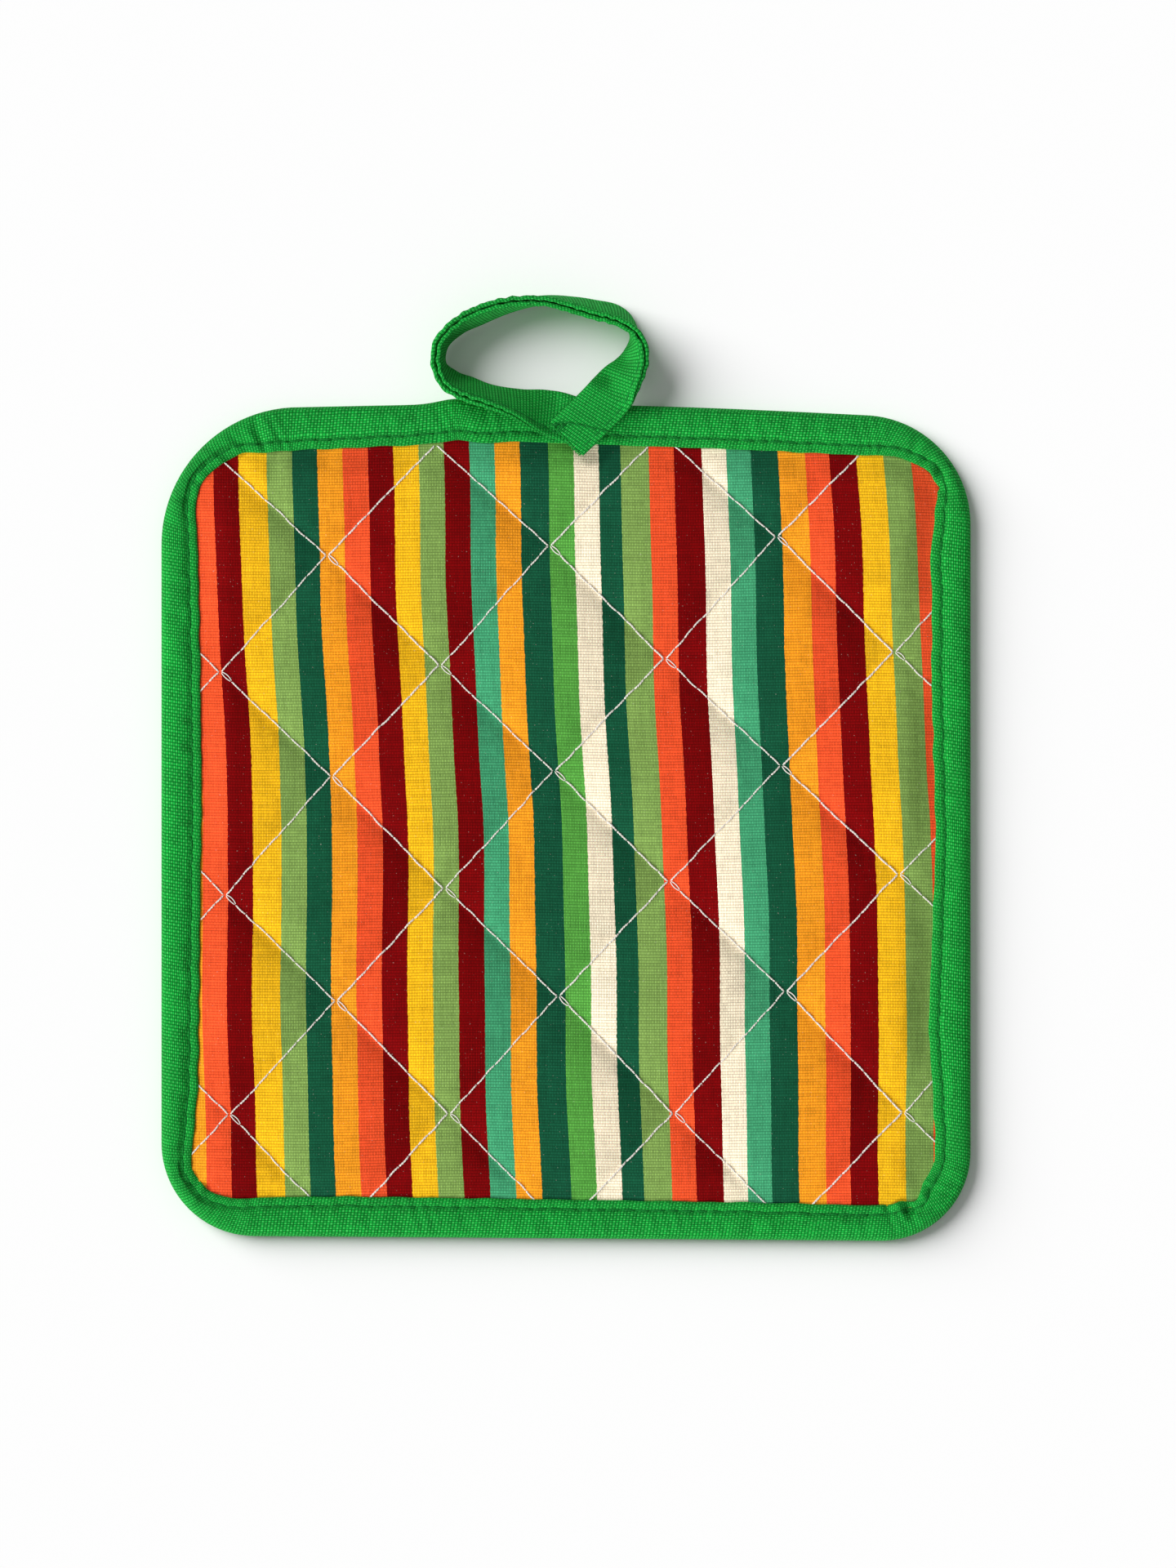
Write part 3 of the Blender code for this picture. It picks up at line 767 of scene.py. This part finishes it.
def cloth_piece(name, points, quads, material, facing_up):
    """A cloth behind its outer points, subdivided once and given its thickness, as one closed mesh."""
    item = make_piece(name, points, quads if facing_up else quads[:, ::-1], material)
    smooth = item.modifiers.new("smooth", "SUBSURF")
    smooth.levels = smooth.render_levels = 1
    solid = item.modifiers.new("thickness", "SOLIDIFY")
    solid.thickness = CLOTH_THICK
    solid.offset = -1.0
    data = bpy.data.meshes.new_from_object(evaluated(item))
    item.modifiers.clear()
    item.data = data
    place = print_place(mesh_points(data))
    corners = np.empty(len(data.loops), np.int32)
    data.loops.foreach_get("vertex_index", corners)
    layer = data.uv_layers.get("cloth") or data.uv_layers.new(name="cloth")
    layer.data.foreach_set("uv", place[corners].astype(np.float32).ravel())
    return item


def quilted_layers(face_material, back_material, wadding_look):
    flat, u, v, field, quads = quilt_grid()
    rim = smooth_step(0.0, RIM_RISE, field)
    at_lines = smooth_step(-0.5 * MM, 2.5 * MM, field)
    valley = FACE_AT_RIM + (FACE_VALLEY - FACE_AT_RIM) * at_lines
    shape = puff_height(u, v)
    height = valley + FACE_PUFF * shape * rim
    on_line = (np.abs(u - np.round(u)) < 1e-6) | (np.abs(v - np.round(v)) < 1e-6)
    held = on_line | (field < 0.2 * MM)
    flat_moved = flat
    start = np.column_stack([flat, valley + (0.5 * FACE_PUFF * shape * rim)])
    start[held, 2] = height[held]
    sheet = make_piece("sheet_under_pressure", start, quads, face_material)
    moved = blown_up(sheet, np.flatnonzero(held))
    bpy.data.objects.remove(sheet)
    bulge = MOST_PUFF * np.tanh(np.maximum(moved[:, 2] - valley, 0.0) / MOST_PUFF)
    height = np.where(held, height, valley + 0.5 * bulge + 0.55 * (height - valley))
    shift = np.clip(moved[:, :2] - flat, -MOST_SHIFT, MOST_SHIFT)
    flat_moved = flat + np.where(held[:, None], 0.0, shift)
    pull = np.exp(-np.minimum(v % 1, 1 - v % 1) * 10) * np.sin(2 * np.pi * u * 7.3 + 3 * v)
    pull += 0.6 * np.exp(-np.minimum(u % 1, 1 - u % 1) * 10) * np.sin(2 * np.pi * v * 6.1 + 2 * u)
    waves = np.sin(flat[:, 0] / (9 * MM) + 2 * np.sin(flat[:, 1] / (23 * MM)))
    height = height + (0.12 * MM * pull + 0.10 * MM * waves) * rim * ~on_line
    for x, y, reach_x, reach_y, rise in CLOTH_CREASES_MM:
        away = ((flat[:, 0] / MM - x) / reach_x) ** 2 + ((flat[:, 1] / MM - y) / reach_y) ** 2
        height = height + rise * MM * np.exp(-away) * smooth_step(0.0, 3.0 * MM, field)
    top = np.column_stack([flat_moved, height])

    bulge = np.maximum(height - valley, 0.0)
    back_line = BACK_AT_RIM + (BACK_VALLEY - BACK_AT_RIM) * at_lines
    low = np.maximum(back_line - 0.75 * bulge, BACK_LOWEST + 0.06 * MM * (waves + 1))
    bottom = np.column_stack([flat, low])

    face = cloth_piece("face_print", top, quads, face_material, True)
    back = cloth_piece("backing_canvas", bottom, quads, back_material, False)
    return face, back, wadding_between(flat, low, height, quads, wadding_look)


def wadding_between(flat, low, high, quads, material):
    """Closed slab between the heights of the backing's and the face cloth's outer sides."""
    gap = CLOTH_THICK + WADDING_GAP
    upper = np.column_stack([flat, high - gap])
    lower = np.column_stack([flat, np.minimum(low + gap, high - gap - WADDING_LEAST)])
    count = len(flat)
    sides = np.concatenate([quads[:, [k, (k + 1) % 4]] for k in range(4)])
    keys = {tuple(e) for e in sides.tolist()}
    border = [(a, b) for a, b in keys if (b, a) not in keys]
    faces = quads.tolist() + (quads[:, ::-1] + count).tolist()
    faces += [[b, a, a + count, b + count] for a, b in border]
    return make_piece("wadding_layer", np.concatenate([upper, lower]), faces, material)


# --- threads


def inside_loop(point, loop):
    ahead = np.roll(loop, -1, axis=0)
    crosses = (loop[:, 1] > point[1]) != (ahead[:, 1] > point[1])
    with np.errstate(divide="ignore", invalid="ignore"):
        at = loop[:, 0] + (point[1] - loop[:, 1]) * (ahead[:, 0] - loop[:, 0]) / (ahead[:, 1] - loop[:, 1])
    return bool((crosses & (point[0] < at)).sum() % 2)


def cut_at(inner, outer, loop):
    for _ in range(24):
        middle = (inner + outer) / 2
        if inside_loop(middle, loop):
            inner = middle
        else:
            outer = middle
    return inner


def trimmed(points, loop):
    """The part of a line of points that lies inside the loop."""
    kept = []
    for a, b in zip(points, points[1:]):
        a_in, b_in = inside_loop(a, loop), inside_loop(b, loop)
        if a_in and not kept:
            kept.append(a)
        if not a_in and b_in:
            kept.append(cut_at(b, a, loop))
        if b_in:
            kept.append(b)
        elif a_in:
            kept.append(cut_at(a, b, loop))
    return kept


def quilting_lines():
    """Plan of every quilting thread: zigzags between neighbouring columns, which meet point to
    point, and the short ends of the outermost two, which the edge cuts into separate corners."""
    window = INNER_EDGE + OUTWARD * QUILT_UNDER_BINDING
    pull = np.array((CORNER_PULL, 0.0))
    lines = {}
    for number, left in enumerate(range(-OUTER_COLUMN, OUTER_COLUMN), 1):
        points = []
        for row in range(len(ROWS_MM)):
            if (left + row) % 2:
                points.append(quilt_corner(left, row) + pull)
            else:
                points.append(quilt_corner(left + 1, row) - pull)
        lines[f"{number}"] = trimmed(points, window)
    for side, sign in (("left", -1), ("right", 1)):
        column = sign * OUTER_COLUMN
        for number, row in enumerate((2, 4, 6), 1):
            corner = quilt_corner(column, row) + pull * sign
            above = quilt_corner(column + sign, row - 1)
            below = quilt_corner(column + sign, row + 1)
            lines[f"{side}_{number}"] = trimmed([above, corner, below], window)
    return lines


def surface_of(item, facing, missing):
    """A function of x and y for the height of the item's outermost surface, seen from above or from
    below. It gives the missing height where there is none."""
    tree = BVHTree.FromObject(item, bpy.context.evaluated_depsgraph_get())

    def height(x, y):
        hit = tree.ray_cast(Vector((x, y, RAY_START * facing)), Vector((0.0, 0.0, -facing)))
        return hit[0].z if hit[0] is not None else missing

    return height


def stitch_line(skin, holes, surface, facing, radius, dip, sway, random, doubled=()):
    """Two twisted plies that come up and go down at each hole. surface(x, y) is the height of the
    cloth. doubled holds the numbers of the stitches whose plies lie apart."""
    centres, spins, gaps = [], [], []
    travelled = 0.0
    for number, (start, end) in enumerate(zip(holes, holes[1:])):
        ahead = end - start
        length = np.linalg.norm(ahead)
        side = right_of(ahead) / (length + 1e-12)
        bow = random.uniform(-1, 1) * sway
        for k in range(STITCH_STEPS if number < len(holes) - 2 else STITCH_STEPS + 1):
            share = k / STITCH_STEPS
            plan = start + ahead * share + side * bow * math.sin(math.pi * share)
            lift = math.sin(math.pi * share) ** 0.25
            z = surface(plan[0], plan[1]) + facing * (radius * 0.9 * lift - dip * (1 - lift))
            centres.append((plan[0], plan[1], z))
            spins.append((travelled + length * share) / THREAD_TWIST * 2 * math.pi)
            gaps.append(math.sin(math.pi * share) if number in doubled else 0.0)
        travelled += length
    centres, gaps = np.array(centres), np.array(gaps)
    spins = np.array(spins) * (gaps == 0)
    side, over = sides_of(centres)
    reach = radius * 0.5 + PLY_GAP * gaps
    for turn in (0.0, math.pi):
        around = np.cos(spins + turn)[:, None] * side + np.sin(spins + turn)[:, None] * over
        skin.tube(centres + reach[:, None] * around, radius * PLY_SHARE)


def holes_along(points, pitch, sway, random):
    """Needle holes along a line of points, with the numbers of the stitches that start a leg."""
    holes, starts = [points[0]], []
    for a, b in zip(points, points[1:]):
        length = np.linalg.norm(b - a)
        if length < SHORTEST_LEG:
            continue
        starts.append(len(holes) - 1)
        count = max(1, round(length / pitch))
        side = right_of(b - a) / length
        for k in range(1, count + 1):
            wander = random.uniform(-1, 1) * sway if k < count else 0.0
            holes.append(a + (b - a) * k / count + side * wander)
    return holes, starts


def quilting_threads(face, back, material):
    lines = quilting_lines()
    for side, cloth, facing, missing in (("front", face, 1, FACE_AT_RIM), ("back", back, -1, BACK_AT_RIM)):
        surface = surface_of(cloth, facing, missing)
        for number, (name, line) in enumerate(lines.items()):
            random = np.random.RandomState(100 + number)
            holes, starts = holes_along(line, QUILT_STITCH, QUILT_WANDER, random)
            doubled = [k for k in starts if k and holes[k + 1][0] > holes[k][0]]
            radius = THICKER_RADIUS if name in THICKER_THREADS else QUILT_RADIUS
            skin = Skin()
            stitch_line(skin, holes, surface, facing, radius, QUILT_DIP, QUILT_SWAY, random,
                        doubled if side == "front" else ())
            place_on_pad(skin.piece(f"stitches_{side}_{name}", material), "quilting_thread",
                         f"quilting_{side}_{name}")


# --- binding


def edge_binding(material):
    """The folded tape all round, with its pulls, folds and needle pits."""
    crown = 0.12 * MM * ripple(11, TURNS, 8, 40) + 0.10 * MM * ripple(12, TURNS, 60, 140)
    near_root = bell(OUTLINE[:, 0] - ROOT_X, ROOT_REACH) * (OUTLINE[:, 1] > 60 * MM)
    crown = crown * (1 - near_root) - 0.30 * MM * near_root
    holes = np.abs(np.cos(np.pi * SEAM_STITCHES * SEAM_LENGTHS[:-1] / SEAM_LENGTHS[-1])) ** 8
    of_seam, offset, height, of_crown, of_pit = np.array(BINDING_SECTION).T
    insets = of_seam * (WIDTHS - SEAM_TO_EDGE)[:, None] + offset * MM
    heights = height * MM + of_crown * crown[:, None] - of_pit * (NEEDLE_PIT * holes)[:, None]
    across = lengths_along(closed_line(np.stack([insets[0], heights[0]], -1)))

    # Pulls across the tape, skewed, strongest near the seam and round the corners.
    corner = bell(PHASE - np.round(PHASE), 0.10)
    share = np.clip(insets / WIDTHS[:, None], 0, 1)
    skewed = TURNS[:, None] + 0.35 * insets / PERIMETER
    pulls = ripple(21, skewed, 90, 170) * (0.05 * MM + 0.07 * MM * corner[:, None])
    on_face = (heights > 3.6 * MM) * share
    heights = heights + pulls * on_face * (1 - near_root[:, None])
    heights += 0.05 * MM * ripple(22, skewed, 170, 300) * (heights > 4.0 * MM)

    places = OUTLINE[:, None] - OUTWARD[:, None] * insets[..., None]
    for x, y, reach_along, reach_across, fold in TAPE_FOLDS_MM:
        gap = places - np.array((x, y)) * MM
        across_gap = (gap * OUTWARD[:, None]).sum(-1)
        along_gap = gap[..., 0] * OUTWARD[:, None, 1] - gap[..., 1] * OUTWARD[:, None, 0]
        away = (along_gap / (reach_along * MM)) ** 2 + (across_gap / (reach_across * MM)) ** 2
        heights = heights + fold * MM * np.exp(-away) * (heights > 3.7 * MM)
    rings = np.concatenate([places, heights[..., None]], -1)
    return swept_piece("binding_tape", rings, np.append(ALONG, PERIMETER), across, True, material)


def binding_stitches(binding, material):
    at = np.arange(SEAM_STITCHES + 1) * SEAM_LENGTHS[-1] / SEAM_STITCHES
    holes = list(picked(at, SEAM_LENGTHS, SEAM_LINE))
    for side, facing, missing, seed in (("front", 1, 3.8 * MM, 7), ("back", -1, 0.5 * MM, 8)):
        skin = Skin()
        stitch_line(skin, holes, surface_of(binding, facing, missing), facing,
                    SEAM_RADIUS, SEAM_DIP, SEAM_SWAY, np.random.RandomState(seed))
        place_on_pad(skin.piece(f"binding_stitches_{side}", material), "seam_thread", f"binding_seam_{side}")


# --- hanging loop


def loop_stations():
    """Along the tape: its middle, its direction, its width towards the sewn edge, and its
    thickness towards the hole of the loop."""
    route = np.array(LOOP_ROUTE, float)
    padded = np.vstack([route[:1], route, route[-1:]])
    path = []
    for k in range(len(route) - 1):
        for step in range(LOOP_STEPS):
            path.append(catmull(*padded[k:k + 4], step / LOOP_STEPS))
    path = np.array(path + [route[-1]])[LOOP_SKIPPED:]
    middles, leans = path[:, :3] * MM, np.radians(path[:, 3])
    ahead = unit(np.gradient(middles, axis=0) * (1, 1, 0))
    outward = np.stack([-ahead[:, 1], ahead[:, 0], np.zeros(len(ahead))], -1)
    width = UP * np.cos(leans)[:, None] + outward * np.sin(leans)[:, None]
    inward = UP * np.sin(leans)[:, None] - outward * np.cos(leans)[:, None]
    return middles, ahead, width, inward


def loop_tape(material):
    middles, ahead, width, inward = loop_stations()
    lengths = lengths_along(middles)
    turns = lengths / lengths[-1]
    free = smooth_step(0.06, 0.26, turns) * (1 - smooth_step(0.78, 0.92, turns))
    thick = TAPE_SEWN_THICK + (TAPE_FREE_THICK - TAPE_SEWN_THICK) * free
    half = np.array(TAPE_SECTION)
    section = np.vstack([half, half[-2:0:-1] * (-1, 1)])
    across = section[:, 1] * MM

    # The sewn edge sways as a whole, and each of its two lips has small waves of its own.
    near_edge = np.clip((across - 3.5 * MM) / (2.4 * MM), 0, 1)
    sway = 0.10 * MM * (ripple(31, turns, 3, 9) * free)[:, None] * near_edge
    inner_lip, outer_lip = (ripple(seed, turns[:, None], 25, 60) for seed in (32, 33))
    on_lips = np.clip((across - 4.3 * MM) / (1.2 * MM), 0, 1)
    lip_wave = 0.10 * MM * np.where(section[:, 0] > 0, inner_lip, outer_lip) * free[:, None] * on_lips
    depths = section[:, 0] * thick[:, None] / 2 + sway + lip_wave
    rings = middles[:, None] + width[:, None] * across[:, None] + inward[:, None] * depths[..., None]
    near_face = np.clip(section[:, 0] * 2, 0, 1)
    for x, y, reach, depth in TAPE_DENTS_MM:
        away = ((rings[..., :2] - np.array((x, y)) * MM) ** 2).sum(-1) / (reach * MM) ** 2
        rings -= inward[:, None] * (depth * MM * np.exp(-away) * near_face)[..., None]
    girth = lengths_along(closed_line(np.column_stack([section[:, 0] * TAPE_FREE_THICK / 2, across])))
    tape = swept_piece("loop_tape", rings, lengths, girth, False, material)
    return tape, (middles, width, inward, thick, lengths, ahead)


def loop_stitches(stations, material):
    """The seam along the tape's open edge, on both of its faces."""
    thick, lengths = stations[3:5]
    count = round(lengths[-1] / BINDING_STITCH)
    steps = 8
    skin = Skin()
    for facing in (1, -1):
        at = np.linspace(1.5 * MM, lengths[-1] - 1.0 * MM, count * steps + 1)
        place, wide, over = (picked(at, lengths, values) for values in stations[:3])
        lift = np.abs(np.sin(np.pi * np.arange(len(at)) / steps)) ** 0.4
        deep = np.interp(at, lengths, thick) / 2 * 0.64 + 0.12 * MM * lift - SEAM_DIP * (1 - lift)
        skin.tube(place + wide * EDGE_SEAM_AT + over * (facing * deep)[:, None], EDGE_SEAM_RADIUS)
    return skin.piece("loop_edge_stitches", material)


def tack_stitches(tape, material):
    """The stitches that hold the loop down, with the loose thread ends beside them."""
    random = np.random.RandomState(5)
    skin = Skin()
    holes, _ = holes_along(np.array(TACK_MM) * MM, TACK_STITCH, TACK_WANDER, random)
    stitch_line(skin, holes, surface_of(tape, 1, 8.2 * MM), 1, SEAM_RADIUS, SEAM_DIP, 2 * SEAM_SWAY, random)
    start = np.array(LOOSE_END_MM) * MM
    for _ in range(LOOSE_ENDS):
        bend = np.array((random.uniform(-1, 0.5), random.uniform(-1, 0.3), 0.0))
        reach = random.uniform(1.6, 3.4) * MM
        share = np.linspace(0, 1, 7)[:, None]
        path = start + bend * reach * share + UP * 0.5 * MM * np.sin(math.pi * share)
        skin.tube(path, 0.11 * MM)
        start = start + np.array((0.45 * MM, 0.1 * MM, 0.0))
    return skin.piece("tack_stitches", material)


def frayed_end(stations, material):
    """Cut yarn ends along the square end of the tape."""
    middles, width, inward, thick, _, ahead = stations
    random = np.random.RandomState(9)
    skin = Skin()
    for layer in (-0.30, 0.30):
        for k in range(FRAYED_YARNS):
            across = (-0.5 + (k + 0.5) / FRAYED_YARNS) * (TAPE_WIDTH - 1.2 * MM)
            root = middles[-1] + width[-1] * across + inward[-1] * thick[-1] * layer - ahead[-1] * 0.3 * MM
            reach = random.uniform(0.6, 1.3) * MM
            drift = width[-1] * random.uniform(-0.4, 0.4) * MM + inward[-1] * random.uniform(-0.1, 0.3) * MM
            path = [root + ahead[-1] * reach * t + drift * t * t for t in np.linspace(0, 1, 5)]
            skin.tube(path, 0.17 * MM * np.array((1.0, 1.0, 0.95, 0.85, 0.6)))
    return skin.piece("frayed_tape_end", material)


# --- scene


def studio():
    """Floor, suns, plain world and the camera, which looks straight down."""
    corners = [(x * FLOOR_HALF, y * FLOOR_HALF, 0.0) for x, y in ((-1, -1), (1, -1), (1, 1), (-1, 1))]
    looks = {"Base Color": (*[FLOOR_WHITE] * 3, 1.0), "Roughness": 0.9, "Specular IOR Level": 0.0}
    floor = make_piece("floor", corners, [(0, 1, 2, 3)], Nodes("floor_white").shaded(looks))
    floor.location.z = -FLOOR_DROP

    scene = bpy.context.scene
    scene.world = bpy.data.worlds.new("pale")
    scene.world.use_nodes = True
    background = scene.world.node_tree.nodes["Background"]
    background.inputs["Color"].default_value = (1.0, 1.0, 1.0, 1.0)
    background.inputs["Strength"].default_value = WORLD_LIGHT

    for name, heading, energy, softness, floor_lit in SUNS:
        lamp = bpy.data.lights.new(name, "SUN")
        lamp.energy = energy
        lamp.angle = math.radians(softness)
        sun = bpy.data.objects.new(name, lamp)
        sun.rotation_euler = Vector(heading).to_track_quat("-Z", "Y").to_euler()
        scene.collection.objects.link(sun)
        receivers = bpy.data.collections.new(name + "_receivers")
        receivers.objects.link(floor)
        receivers.collection_objects[0].light_linking.link_state = floor_lit
        sun.light_linking.receiver_collection = receivers

    lens = bpy.data.cameras.new("camera")
    lens.lens = LENS
    lens.sensor_width = SENSOR
    camera = bpy.data.objects.new("camera", lens)
    camera.location = (VIEW_X, VIEW_Y, VIEW_Z + VIEW_HEIGHT * LENS / SENSOR)
    scene.collection.objects.link(camera)
    scene.camera = camera
    scene.view_settings.view_transform = "Standard"


def main():
    canvas, tape_look = printed_canvas(), tape_canvas()
    white = thread_material("quilting_thread_white", *WHITE_THREAD)
    green = thread_material("seam_thread_green", *GREEN_THREAD)

    face, back, wadding = quilted_layers(canvas, natural_canvas(), wadding_material())
    place_on_pad(face, "printed_canvas", "face_cloth")
    place_on_pad(back, "backing_canvas", "backing_cloth")
    place_on_pad(wadding, "wadding", "wadding")
    quilting_threads(face, back, white)

    binding = place_on_pad(edge_binding(tape_look), "binding_canvas", "edge_binding")
    binding_stitches(binding, green)

    tape, stations = loop_tape(tape_look)
    place_on_pad(tack_stitches(tape, green), "seam_thread", "loop_tack_seam")
    fray = place_on_pad(frayed_end(stations, tape_look), "binding_canvas")
    edge = loop_stitches(stations, green)
    for piece in (tape, edge):
        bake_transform(piece)
    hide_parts("loop_root", "hanging_loop", "loop_tail")
    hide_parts("loop_edge_seam")

    studio()


main()
